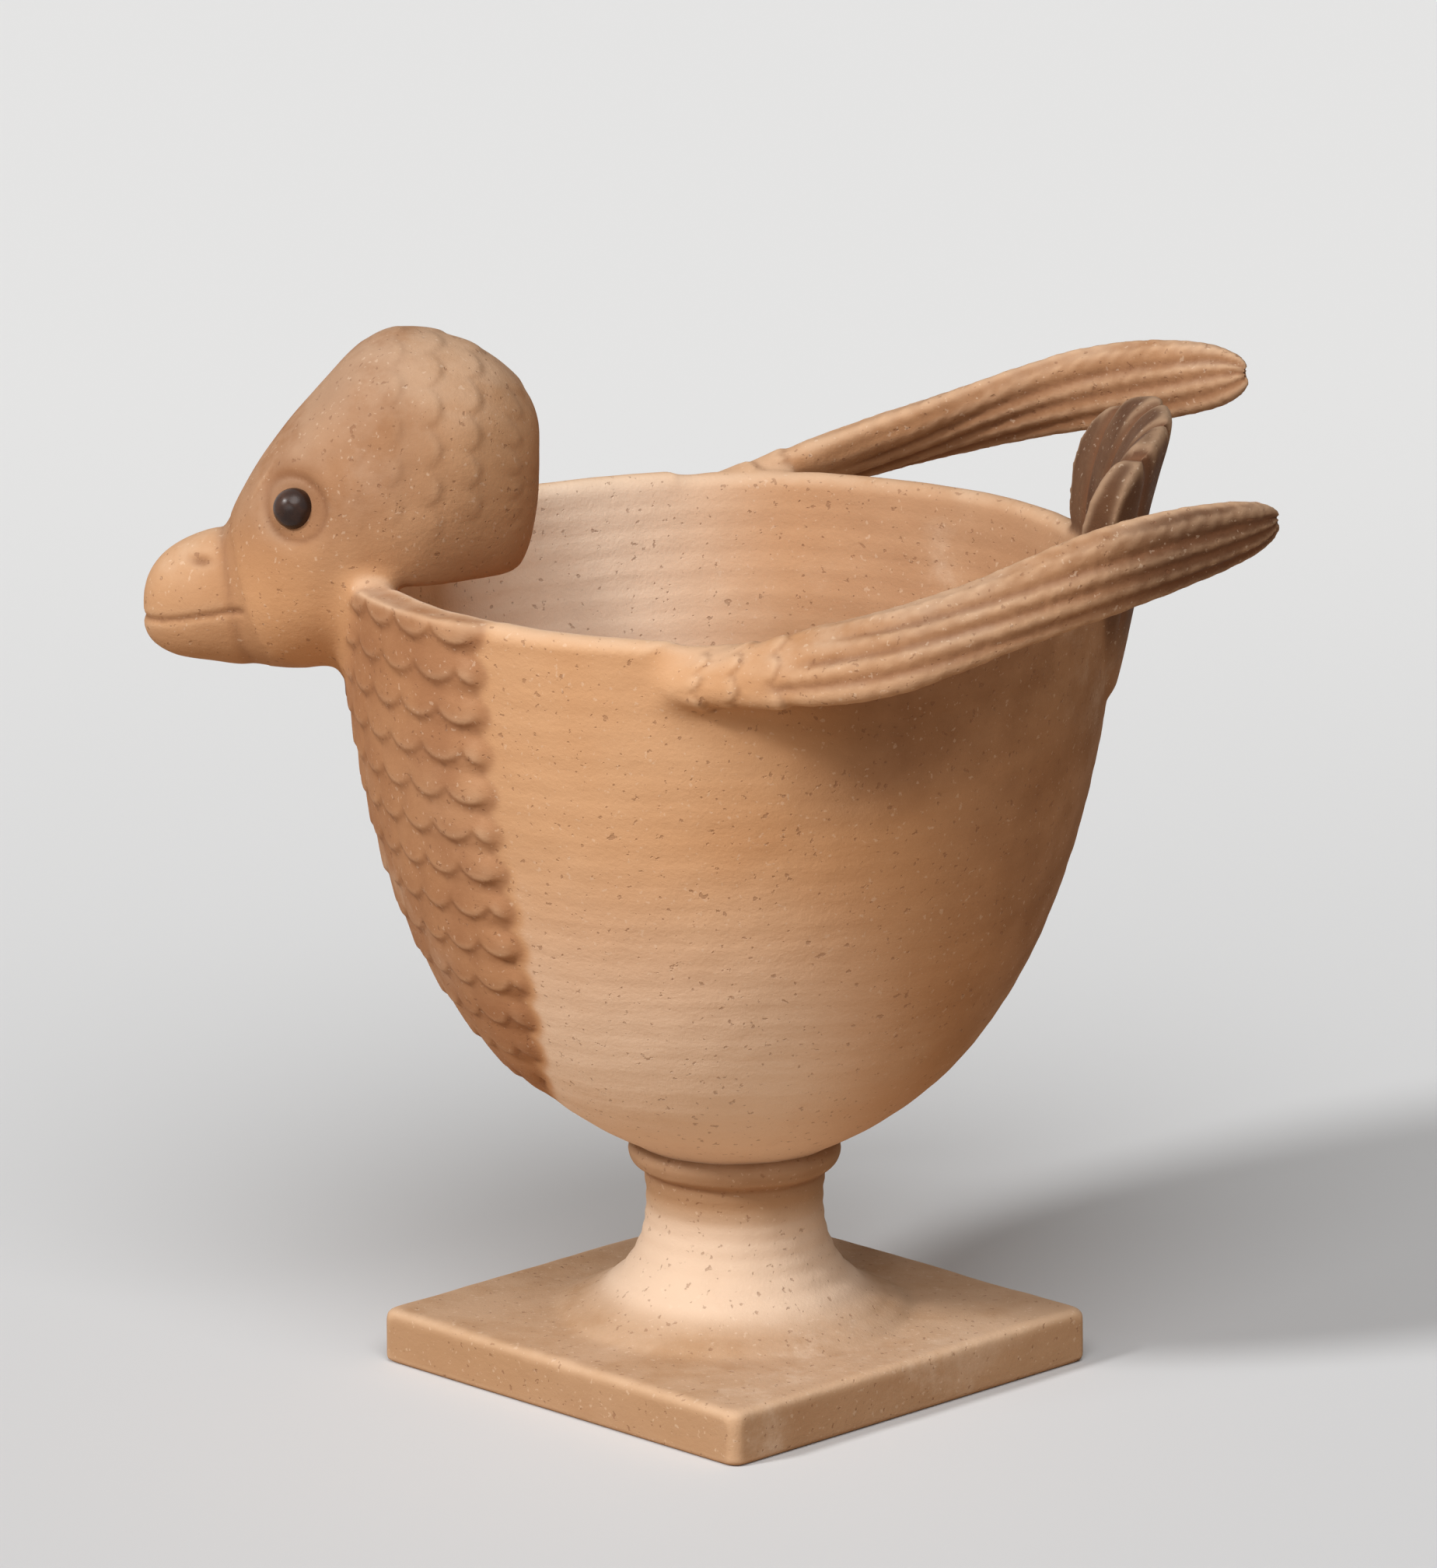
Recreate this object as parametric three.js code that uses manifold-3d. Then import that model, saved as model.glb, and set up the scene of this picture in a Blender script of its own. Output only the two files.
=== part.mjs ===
// A bird-shaped terracotta cachepot: a thrown goblet bowl on a trumpet stem and a square plinth,
// with a head, a breast panel, two swept wings and an upturned tail luted to the bowl.
// Millimetres, +Z up, the head looks along -X, the origin is on the floor under the stem.
import * as THREE from "three";
import { mergeVertices } from "three/addons/utils/BufferGeometryUtils.js";
import Module from "manifold-3d";

const wasm = await Module();
wasm.setup();

// Driving dimensions
const jointGap = 0.3;
const plinthSide = 136;
const plinthHeight = 15;
const plinthCornerRadius = 3;
const plinthEdgeRound = 2.5;
const plinthTurn = Math.PI / 4;
const bossRadius = 26;
const bossHeight = 5;
const stemHeight = 41;
const stemFootRadius = 47;
const stemFootEdge = 1.5;
const stemWaistRadius = 22;
const stemTopRadius = 25;
const stemBoreRadius = 11;
const collarHeight = 8;
const collarRadius = 29;
const spigotLength = 14;
const bowlHeight = 161;
const bowlFootRadius = 28;
const bowlBellyRadius = 98;
const bowlRimRadius = 103;
const bowlWall = 8;
const bowlFloor = 12;
const breastHalfAngle = THREE.MathUtils.degToRad(50);
const breastThickness = 5;
const breastHeight = 146;
const headLength = 84;
const headWidth = 68;
const headHeight = 90;
const headSetback = 51;
const beakLength = 40;
const beakWidth = 34;
const beakHeight = 42;
const eyeRadius = 5.5;
const wingShoulderAngle = THREE.MathUtils.degToRad(78);
const wingReach = 145;
const wingHalfSpan = 88;
const wingFlare = 26;
const wingThickness = 13;
const wingDepth = 24;
const wingShoulderDrop = 19;
const wingTipRise = 32;
const wingTipLean = 7;
const tailHalfAngle = THREE.MathUtils.degToRad(20);
const tailFanAngle = THREE.MathUtils.degToRad(26);
const tailRise = 39;
const tailDrop = 36;
const tailThickness = 13;
const tailLean = 12;

// Levels along the axis, each from the piece below it
const plinthTop = plinthHeight;
const stemTop = plinthTop + stemHeight;
const bowlBase = stemTop + collarHeight;
const rimLevel = bowlBase + bowlHeight;

// Facets round a turned piece, and along a curve of its profile
const turnFacets = 48;
const curveFacets = 12;
const arcFacets = 4;

const clay = (colour) => new THREE.MeshStandardMaterial({ color: colour, roughness: 0.9, metalness: 0 });
const paleClay = clay(0xd2a176);
const breastClay = clay(0xb88159);
const plinthClay = clay(0xc8a582);
const darkClay = clay(0x5a3a28);

// A closed mesh as a solid that can be joined and cut
function solid(geometry) {
  const bare = geometry.clone();
  bare.deleteAttribute("normal");
  bare.deleteAttribute("uv");
  const welded = mergeVertices(bare, 1e-4);
  return new wasm.Manifold(new wasm.Mesh({
    numProp: 3,
    vertProperties: new Float32Array(welded.attributes.position.array),
    triVerts: new Uint32Array(welded.index.array),
  }));
}

// A solid, or a plain geometry, as a named piece of the scene
function piece(name, shape, material) {
  let geometry = shape;
  if (!shape.isBufferGeometry) {
    const mesh = shape.getMesh();
    geometry = new THREE.BufferGeometry();
    geometry.setAttribute("position", new THREE.BufferAttribute(new Float32Array(mesh.vertProperties), 3));
    geometry.setIndex(new THREE.BufferAttribute(new Uint32Array(mesh.triVerts), 1));
    geometry.computeVertexNormals();
  }
  const result = new THREE.Mesh(geometry, material);
  result.name = name;
  return result;
}

// A turned solid from a profile of (radius, height) points, about +Z
function turned(profile, facets = turnFacets) {
  const geometry = new THREE.LatheGeometry(profile, facets);
  geometry.rotateX(Math.PI / 2);
  return solid(geometry);
}

// A closed skin over rings of equal point count, with a strip across each end
function loft(rings) {
  const count = rings[0].length;
  const points = rings.flat();
  const index = [];
  for (let r = 0; r + 1 < rings.length; r += 1) {
    for (let i = 0; i < count; i += 1) {
      const a = r * count + i;
      const b = r * count + ((i + 1) % count);
      index.push(a, b, a + count, b, b + count, a + count);
    }
  }
  const last = (rings.length - 1) * count;
  for (let i = 0; i < count / 2 - 1; i += 1) {
    const j = count - 1 - i;
    index.push(i, j, i + 1, i + 1, j, j - 1);
    index.push(last + i, last + i + 1, last + j, last + i + 1, last + j - 1, last + j);
  }
  const geometry = new THREE.BufferGeometry().setFromPoints(points);
  geometry.setIndex(runsInwards(points, index) ? index.reverse() : index);
  return solid(geometry);
}

// Whether a closed skin's triangles face inwards, by the sign of the volume they enclose
function runsInwards(points, index) {
  const normal = new THREE.Vector3();
  let volume = 0;
  for (let i = 0; i < index.length; i += 3) {
    normal.crossVectors(points[index[i + 1]], points[index[i + 2]]);
    volume += points[index[i]].dot(normal);
  }
  return volume < 0;
}

function ellipsoid(length, width, height, centre, grow = 0, facets = 28) {
  const geometry = new THREE.SphereGeometry(1, facets, Math.round(facets * 0.6));
  geometry.rotateX(Math.PI / 2);
  geometry.scale(length / 2 + grow, width / 2 + grow, height / 2 + grow);
  geometry.translate(centre.x, centre.y, centre.z);
  return solid(geometry);
}

const mirrored = (shape) => shape.mirror([0, 1, 0]);
const mix = THREE.MathUtils.lerp;

// The outer wall of the bowl, as a curve of (radius, height) from foot to rim
const bowlCurve = new THREE.CubicBezierCurve(
  new THREE.Vector2(bowlFootRadius, bowlBase),
  new THREE.Vector2(mix(bowlFootRadius, bowlBellyRadius, 0.7), bowlBase + bowlHeight * 0.14),
  new THREE.Vector2(bowlBellyRadius, bowlBase + bowlHeight * 0.48),
  new THREE.Vector2(bowlRimRadius, rimLevel),
);

// The wall's outer radius at a height, found by halving along the curve
function wallRadius(height) {
  let low = 0;
  let high = 1;
  for (let step = 0; step < 30; step += 1) {
    const middle = (low + high) / 2;
    if (bowlCurve.getPoint(middle).y < height) low = middle;
    else high = middle;
  }
  return bowlCurve.getPoint(low).x;
}

function roundedSquare(side, radius) {
  const h = side / 2;
  const shape = new THREE.Shape();
  shape.moveTo(h, h - radius);
  shape.absarc(h - radius, h - radius, radius, 0, Math.PI / 2);
  shape.absarc(radius - h, h - radius, radius, Math.PI / 2, Math.PI);
  shape.absarc(radius - h, radius - h, radius, Math.PI, Math.PI * 1.5);
  shape.absarc(h - radius, radius - h, radius, Math.PI * 1.5, Math.PI * 2);
  return shape;
}

// The square plinth with soft edges and a locating boss on top
function makePlinth() {
  const outline = roundedSquare(plinthSide - 2 * plinthEdgeRound, plinthCornerRadius);
  const slab = new THREE.ExtrudeGeometry(outline, {
    depth: plinthHeight - 2 * plinthEdgeRound,
    bevelThickness: plinthEdgeRound,
    bevelSize: plinthEdgeRound,
    bevelSegments: arcFacets,
    curveSegments: arcFacets,
  });
  slab.translate(0, 0, plinthEdgeRound);
  const bossProfile = [
    new THREE.Vector2(0, plinthTop - 1),
    new THREE.Vector2(bossRadius, plinthTop - 1),
    new THREE.Vector2(bossRadius - 1, plinthTop + bossHeight),
    new THREE.Vector2(0, plinthTop + bossHeight),
  ];
  const shape = solid(slab).add(turned(bossProfile, 32));
  const plinth = piece("plinth", shape, plinthClay);
  plinth.rotation.z = plinthTurn;
  return plinth;
}

// The trumpet stem, hollow, standing over the plinth's boss
function makeStem() {
  const flare = new THREE.CubicBezierCurve(
    new THREE.Vector2(stemFootRadius, plinthTop + stemFootEdge),
    new THREE.Vector2(mix(stemFootRadius, stemWaistRadius, 0.75), plinthTop + stemHeight * 0.2),
    new THREE.Vector2(stemWaistRadius - 1, plinthTop + stemHeight * 0.5),
    new THREE.Vector2(stemTopRadius, stemTop),
  );
  const socket = bossRadius + jointGap;
  const profile = [
    new THREE.Vector2(stemFootRadius - 1, plinthTop),
    ...flare.getPoints(curveFacets),
    new THREE.Vector2(stemBoreRadius, stemTop),
    new THREE.Vector2(stemBoreRadius, plinthTop + bossHeight + stemHeight * 0.35),
    new THREE.Vector2(socket, plinthTop + bossHeight + jointGap),
    new THREE.Vector2(socket, plinthTop),
  ];
  profile.push(profile[0].clone());
  return piece("stem", turned(profile, 44), paleClay);
}

// The rounded collar between stem and bowl, with the bowl's spigot through it
function makeCollar() {
  const middle = stemTop + collarHeight / 2;
  const bulge = collarHeight / 2;
  const profile = [new THREE.Vector2(stemBoreRadius, stemTop)];
  for (let i = 0; i <= 2 * arcFacets; i += 1) {
    const angle = -Math.PI / 2 + (Math.PI * i) / (2 * arcFacets);
    profile.push(new THREE.Vector2(
      collarRadius - bulge + bulge * Math.cos(angle),
      middle + bulge * Math.sin(angle),
    ));
  }
  profile.push(new THREE.Vector2(stemBoreRadius, bowlBase));
  profile.push(profile[0].clone());
  return piece("collar", turned(profile, 40), paleClay);
}

// The bowl: a thick thrown wall with a rounded rim, a flat foot and a spigot
function makeBowl() {
  const spigotRadius = stemBoreRadius - jointGap;
  const outer = bowlCurve.getPoints(curveFacets + 4);
  const lip = bowlWall / 2;
  const profile = [
    new THREE.Vector2(0, bowlBase - spigotLength),
    new THREE.Vector2(spigotRadius, bowlBase - spigotLength),
    new THREE.Vector2(spigotRadius, bowlBase),
    ...outer.filter((p) => p.y < rimLevel - lip),
  ];
  for (let i = 0; i <= 2 * arcFacets; i += 1) {
    const angle = (Math.PI * i) / (2 * arcFacets);
    profile.push(new THREE.Vector2(
      bowlRimRadius - lip + lip * Math.cos(angle),
      rimLevel - lip + lip * Math.sin(angle),
    ));
  }
  const innerFloor = bowlBase + bowlFloor;
  for (const p of outer.slice(1).reverse()) {
    if (p.y < rimLevel - lip - 1 && p.y > innerFloor + bowlWall && p.x > bowlFootRadius) {
      profile.push(new THREE.Vector2(p.x - bowlWall, p.y));
    }
  }
  profile.push(new THREE.Vector2(bowlFootRadius * 0.7, innerFloor + 2));
  profile.push(new THREE.Vector2(0, innerFloor));
  return turned(profile);
}

// The bowl filled to its rim and grown by the joint gap: what is luted on keeps clear of it
function makeBowlCutter() {
  const profile = [new THREE.Vector2(0, bowlBase - 1)];
  for (const p of bowlCurve.getPoints(curveFacets + 4)) {
    profile.push(new THREE.Vector2(p.x + jointGap, p.y));
  }
  profile.push(new THREE.Vector2(bowlRimRadius + jointGap, rimLevel + jointGap));
  profile.push(new THREE.Vector2(0, rimLevel + jointGap));
  return turned(profile);
}

// A point on the far (+) or near (-) side, at an angle from the head's direction
function polar(radius, angle, height) {
  return new THREE.Vector3(-radius * Math.cos(angle), radius * Math.sin(angle), height);
}

// A ring that follows the wall between two angles: out along one radius and back along another
function wallRing(height, halfAngle, outerRadius, innerRadius, facing, steps) {
  const ring = [];
  for (let i = 0; i <= steps; i += 1) {
    const share = mix(-1, 1, i / steps);
    ring.push(polar(outerRadius(share), facing + share * halfAngle, height));
  }
  for (let i = steps; i >= 0; i -= 1) {
    const share = mix(-1, 1, i / steps);
    ring.push(polar(innerRadius, facing + share * halfAngle, height));
  }
  return ring;
}

// A ring of points round a centre, from its half-length across and its half-height
function ovalRing(centre, across, up, facets) {
  const ring = [];
  for (let k = 0; k < facets; k += 1) {
    const angle = (2 * Math.PI * (k + 0.5)) / facets;
    const point = centre.clone().addScaledVector(across, Math.cos(angle));
    ring.push(point.addScaledVector(up, Math.sin(angle)));
  }
  return ring;
}

// The head's outline from its back to its face: top and bottom over the rim as shares of the
// head's height, and half-width as a share of the head's width
const headOutline = new THREE.CatmullRomCurve3([
  new THREE.Vector3(0.36, 0.26, 0.06),
  new THREE.Vector3(0.52, -0.04, 0.29),
  new THREE.Vector3(0.64, -0.14, 0.46),
  new THREE.Vector3(0.66, -0.28, 0.5),
  new THREE.Vector3(0.44, -0.34, 0.43),
  new THREE.Vector3(0.2, -0.3, 0.28),
  new THREE.Vector3(0.02, -0.14, 0.08),
]);

// The beak's outline, in the same way, from inside the face to the blunt tip
const beakOutline = new THREE.CatmullRomCurve3([
  new THREE.Vector3(0.26, -0.74, 0.5),
  new THREE.Vector3(0.21, -0.72, 0.48),
  new THREE.Vector3(0.14, -0.69, 0.43),
  new THREE.Vector3(0.04, -0.65, 0.33),
  new THREE.Vector3(-0.12, -0.56, 0.2),
  new THREE.Vector3(-0.32, -0.42, 0.06),
]);

const headBack = headSetback - bowlRimRadius;
const faceFront = headBack - headLength;
const beakTip = faceFront + beakLength * 0.45 - beakLength;

// One section of the head or the beak, as its centre, half-width and half-height
function section(outline, t, along, height, width) {
  const { x: top, y: bottom, z: half } = outline.getPoint(t);
  return {
    centre: new THREE.Vector3(along, 0, rimLevel + (height * (top + bottom)) / 2),
    across: half * width,
    up: (height * (top - bottom)) / 2,
  };
}

const headSection = (t) => {
  const along = mix(headBack, faceFront, (1 - Math.cos(Math.PI * t)) / 2);
  return section(headOutline, t, along, headHeight, headWidth);
};

const beakSection = (t) => {
  const along = mix(beakTip + beakLength, beakTip, Math.sin((Math.PI * t) / 2));
  return section(beakOutline, t, along, beakHeight, beakWidth);
};

function skin(sectionAt, steps, facets, grow) {
  const rings = [];
  for (let i = 0; i <= steps; i += 1) {
    const { centre, across, up } = sectionAt(i / steps);
    if (i === 0) centre.x += grow;
    if (i === steps) centre.x -= grow;
    const side = new THREE.Vector3(0, across + grow, 0);
    const rise = new THREE.Vector3(0, 0, up + grow);
    rings.push(ovalRing(centre, side, rise, facets));
  }
  return loft(rings);
}

const headForm = (grow) => skin(headSection, 18, 26, grow);
const beakForm = (grow) => skin(beakSection, 10, 20, grow);

// An eye, half sunk in the side of the head
const eyeAt = headSection(0.68);
const eyeLift = 0.42;
const eyeCentre = new THREE.Vector3(
  eyeAt.centre.x,
  eyeAt.across * Math.cos(Math.asin(eyeLift)) - eyeRadius * 0.25,
  eyeAt.centre.z + eyeAt.up * eyeLift,
);

// The breast panel: a shield on the front of the wall, with soft edges and a rounded lower end
function makeBreast(bowlCutter, headCutter) {
  const rings = [];
  const steps = 14;
  const bottom = rimLevel - breastHeight;
  for (let i = 0; i <= steps; i += 1) {
    const t = (i / steps) ** 1.4;
    const height = mix(bottom, rimLevel - jointGap, t);
    const round = Math.sqrt(1 - 0.94 * (1 - t) ** 7);
    const half = breastHalfAngle * round;
    const wall = wallRadius(height);
    const thick = breastThickness * round;
    const outer = (share) => wall + thick * Math.sqrt(1 - 0.9 * share ** 6);
    rings.push(wallRing(height, half, outer, wall - bowlWall / 2, 0, 10));
  }
  return loft(rings).subtract(bowlCutter).subtract(headCutter);
}

// A wing: a leaf-shaped blade luted to the wall at the shoulder, that sweeps back, out and up.
// Its lower edge stands out over the wall, and towards the tip the blade turns its face down.
// It is drawn over the rim's level and then lifted to it.
function makeWing(bowlCutter) {
  const side = bowlRimRadius;
  const shoulder = polar(side, wingShoulderAngle, -wingShoulderDrop);
  const lower = new THREE.CatmullRomCurve3([
    shoulder,
    new THREE.Vector3(side * 0.08, side + wingFlare * 0.5, -wingShoulderDrop * 0.72),
    new THREE.Vector3(side * 0.42, side + wingFlare, -wingShoulderDrop * 0.3),
    new THREE.Vector3(mix(side * 0.42, wingReach, 0.48), side + wingFlare * 0.3, wingTipRise * 0.24),
    new THREE.Vector3(wingReach, wingHalfSpan - wingTipLean, wingTipRise - wingDepth * 0.5),
  ]);
  const upper = new THREE.CatmullRomCurve3([
    shoulder.clone().add(new THREE.Vector3(wingDepth * 0.2, 0, wingDepth * 0.6)),
    new THREE.Vector3(side * 0.12, side, wingTipRise * 0.08),
    new THREE.Vector3(side * 0.45, side + wingFlare * 0.3, wingTipRise * 0.42),
    new THREE.Vector3(mix(side * 0.45, wingReach, 0.48), side + wingFlare * 0.2, wingTipRise),
    new THREE.Vector3(wingReach - 4, wingHalfSpan + wingTipLean, wingTipRise + wingDepth * 0.36),
  ]);
  const rings = [];
  const steps = 22;
  for (let i = 0; i <= steps; i += 1) {
    const t = (1 - Math.cos((Math.PI * i) / steps)) / 2;
    const low = lower.getPoint(t);
    const high = upper.getPoint(t);
    const centre = low.clone().add(high).multiplyScalar(0.5);
    const rise = high.sub(low).multiplyScalar(0.5);
    const outwards = new THREE.Vector3().crossVectors(rise, lower.getTangent(t)).normalize();
    const ends = Math.sqrt(Math.max(0.03, 1 - Math.abs(2 * t - 1) ** 9));
    const half = (wingThickness / 2) * ends * mix(1, 0.8, t);
    rings.push(ovalRing(centre, outwards.multiplyScalar(half), rise.multiplyScalar(ends), 16));
  }
  return loft(rings).translate(0, 0, rimLevel).subtract(bowlCutter);
}

// The tail: a fan that stands on the back of the rim, widens, leans back and ends in a round top
function makeTail(bowlCutter) {
  const rings = [];
  const steps = 16;
  for (let i = 0; i <= steps; i += 1) {
    const t = i / steps;
    const height = mix(rimLevel - tailDrop, rimLevel + tailRise, Math.sin((Math.PI * t) / 2));
    const above = Math.max(0, (height - rimLevel) / tailRise);
    const below = Math.max(0, (rimLevel - height) / tailDrop);
    const round = Math.sqrt(Math.max(0.02, 1 - above ** 5));
    const thick = tailThickness * round * mix(1, 0.35, below);
    const wall = wallRadius(Math.min(height, rimLevel));
    const outerSkin = wall + mix(0.45, 0.3, above) * thick + tailLean * above ** 1.5;
    const innerSkin = above > 0 ? outerSkin - thick : wall - bowlWall / 2;
    const spread = mix(tailHalfAngle, tailFanAngle, above) * mix(1, 0.5, below);
    const half = spread * Math.sqrt(1 - 0.9 * above ** 4);
    const outer = (share) => outerSkin - thick * 0.3 * share ** 4;
    rings.push(wallRing(height, half, outer, innerSkin, Math.PI, 8));
  }
  return loft(rings).subtract(bowlCutter);
}

const bowlCutter = makeBowlCutter();
const headCutter = headForm(jointGap);
const eyeSocket = ellipsoid(2 * eyeRadius, 2 * eyeRadius, 2 * eyeRadius, eyeCentre, jointGap, 16);
const eye = ellipsoid(2 * eyeRadius, 2 * eyeRadius, 2 * eyeRadius, eyeCentre, 0, 16);
const beak = beakForm(0).subtract(headCutter);
const head = headForm(0).subtract(bowlCutter).subtract(eyeSocket).subtract(mirrored(eyeSocket));
const breast = makeBreast(bowlCutter, headCutter.add(beakForm(jointGap)));
const wing = makeWing(bowlCutter);

const cachepot = new THREE.Group();
cachepot.add(
  makePlinth(),
  makeStem(),
  makeCollar(),
  piece("bowl", makeBowl(), paleClay),
  piece("breast", breast, breastClay),
  piece("head", head, paleClay),
  piece("beak", beak, paleClay),
  piece("eye_far", eye, darkClay),
  piece("eye_near", mirrored(eye), darkClay),
  piece("wing_far", wing, paleClay),
  piece("wing_near", mirrored(wing), paleClay),
  piece("tail", makeTail(bowlCutter), paleClay),
);

export default cachepot;
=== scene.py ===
# Dresses a bird-shaped terracotta cachepot: one luted clay body, a pedestal and two bead eyes.
import math

import bpy
import numpy as np
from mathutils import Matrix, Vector, noise
from mathutils.bvhtree import BVHTree
from mathutils.kdtree import KDTree


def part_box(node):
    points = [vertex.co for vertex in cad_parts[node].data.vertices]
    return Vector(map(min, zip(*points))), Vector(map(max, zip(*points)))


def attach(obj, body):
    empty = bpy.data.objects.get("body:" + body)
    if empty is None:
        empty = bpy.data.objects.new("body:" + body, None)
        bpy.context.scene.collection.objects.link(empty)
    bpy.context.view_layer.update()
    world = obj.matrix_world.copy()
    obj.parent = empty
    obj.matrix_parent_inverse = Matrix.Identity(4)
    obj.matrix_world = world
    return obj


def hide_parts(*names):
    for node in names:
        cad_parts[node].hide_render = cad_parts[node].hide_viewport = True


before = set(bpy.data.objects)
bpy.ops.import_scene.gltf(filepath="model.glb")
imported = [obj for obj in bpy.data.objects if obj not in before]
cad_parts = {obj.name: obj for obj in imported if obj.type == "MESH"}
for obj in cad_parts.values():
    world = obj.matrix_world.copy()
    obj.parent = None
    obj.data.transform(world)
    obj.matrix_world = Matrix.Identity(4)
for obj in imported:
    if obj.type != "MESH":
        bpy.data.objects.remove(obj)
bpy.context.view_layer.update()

# Places and sizes in millimetres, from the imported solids
MM = 0.001
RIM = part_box("bowl")[1].z / MM
RIM_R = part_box("bowl")[1].x / MM
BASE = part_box("collar")[1].z / MM
STEM_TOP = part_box("collar")[0].z / MM
PLINTH_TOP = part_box("stem")[0].z / MM
HEAD_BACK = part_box("head")[1].x / MM
FACE_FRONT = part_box("head")[0].x / MM
HEAD_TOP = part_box("head")[1].z / MM
HEAD_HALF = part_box("head")[1].y / MM
BEAK_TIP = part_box("beak")[0].x / MM
WING_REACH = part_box("wing_far")[1].x / MM
BREAST_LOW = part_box("breast")[0].z / MM

# Sizes in millimetres, and angles, that the solids' boxes don't give
FOOT_R, FOOT_SUNK, BELLY_R, WALL, BOWL_FLOOR = 28.0, 3.0, 98.0, 8.0, 12.0
BREAST_HALF, BREAST_THICK, BREAST_TOP = math.radians(50), 4.6, RIM - 0.5
HEAD_SEAT, HEAD_LEDGE = 3.0, 5.0  # how far the head reaches below the rim, and the rim's width under it
BEAK_H, BEAK_W, BEAK_L = 42.0, 34.0, 40.0
WING_SHOULDER, WING_HALF_SPAN, WING_HALF_THICK = math.radians(78), 88.0, 6.5
WING_FLARE, WING_DEPTH, WING_DROP, WING_RISE, WING_LEAN = 26.0, 24.0, 19.0, 32.0, 7.0
TAIL_RISE, TAIL_DROP, TAIL_LEAN, TAIL_THICK = 39.0, 36.0, 12.0, 13.0
TAIL_HALF, TAIL_FAN = math.radians(20), math.radians(26)
STEM_FOOT_R, STEM_WAIST_R, STEM_TOP_R = 47.0, 22.0, 25.0
STEM_FOOT_EDGE, STEM_ROOT = 1.5, 6.0
COLLAR_R, COLLAR_INNER = 29.0, 20.0
PLINTH_HALF, PLINTH_CORNER, PLINTH_EDGE = 68.0, 3.5, 2.5
LUTED = 4.0  # how far a piece reaches into the wall that carries it
SCALE_ROW = 11.0  # from one row of breast feathers to the next
VOXEL = 0.95  # the fused skin's grain

# The head and the beak, at even steps from the back to the front: top, bottom and half width, as shares
HEAD = [
    (0.36, 0.26, 0.06), (0.52, -0.04, 0.29), (0.64, -0.14, 0.46), (0.66, -0.28, 0.5),
    (0.44, -0.34, 0.43), (0.2, -0.3, 0.28), (0.02, -0.14, 0.08),
]
BEAK = [
    (0.26, -0.74, 0.5), (0.21, -0.72, 0.48), (0.14, -0.69, 0.43),
    (0.04, -0.65, 0.33), (-0.12, -0.56, 0.2), (-0.32, -0.42, 0.06),
]
HEAD_H = (HEAD_TOP - RIM) / max(top for top, _, _ in HEAD)
HEAD_W = 2 * HEAD_HALF


def mix(a, b, t):
    return a + (b - a) * t


def smooth(low, high, x):
    t = np.clip((x - low) / (high - low), 0, 1)
    return t * t * (3 - 2 * t)


def groove(distance, width):
    return np.exp(-((distance / width) ** 2))


def spline(points, t):
    """A smooth curve through evenly spaced points, at t from 0 to 1."""
    p = np.asarray(points, float)
    n = len(p) - 1
    p = np.vstack([2 * p[0] - p[1], p, 2 * p[-1] - p[-2]])
    s = min(max(t, 0.0), 1.0) * n
    i = min(int(s), n - 1)
    u = s - i
    a, b, c, d = p[i:i + 4]
    return 0.5 * (2 * b + (c - a) * u + (2 * a - 5 * b + 4 * c - d) * u**2 + (3 * b - a - 3 * c + d) * u**3)


def bezier(a, b, c, d, count):
    t = np.linspace(0, 1, count)[:, None]
    a, b, c, d = (np.asarray(p, float) for p in (a, b, c, d))
    return a * (1 - t) ** 3 + 3 * b * t * (1 - t) ** 2 + 3 * c * t**2 * (1 - t) + d * t**3


def loft(rings):
    """A closed skin over rings of equal point count."""
    rings = np.asarray(rings, float)
    m, k, _ = rings.shape
    faces = [
        (r * k + i, r * k + (i + 1) % k, (r + 1) * k + (i + 1) % k, (r + 1) * k + i)
        for r in range(m - 1)
        for i in range(k)
    ]
    faces.append(tuple(reversed(range(k))))
    faces.append(tuple((m - 1) * k + i for i in range(k)))
    return rings.reshape(-1, 3), faces


def turned(profile, facets=200):
    """A solid of revolution from (radius, height) points, closed flat at both ends."""
    angles = np.arange(facets) * 2 * math.pi / facets
    across, along = np.cos(angles), np.sin(angles)
    return loft([np.stack([r * across, r * along, np.full(facets, z)], 1) for r, z in profile])


def oval(centre, across, up, facets):
    """A ring of points about a centre, by its two half axes."""
    a = 2 * math.pi * (np.arange(facets) + 0.5) / facets
    return centre + np.outer(np.cos(a), across) + np.outer(np.sin(a), up)


def around(radius, angle, z):
    """A place at an angle from the direction of the head."""
    return np.array([-radius * math.cos(angle), radius * math.sin(angle), z])


def mirrored(form):
    points, faces = form
    return points * [1, -1, 1], [tuple(reversed(f)) for f in faces]


def wall_curve():
    """The bowl's outer wall from foot to rim, as radius and height."""
    height = RIM - BASE
    return bezier(
        (FOOT_R, BASE),
        (mix(FOOT_R, BELLY_R, 0.7), BASE + height * 0.14),
        (BELLY_R, BASE + height * 0.48),
        (RIM_R, RIM),
        count=160,
    )


WALL_CURVE = wall_curve()


def wall_radius(z):
    return np.interp(z, WALL_CURVE[:, 1], WALL_CURVE[:, 0])


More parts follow.
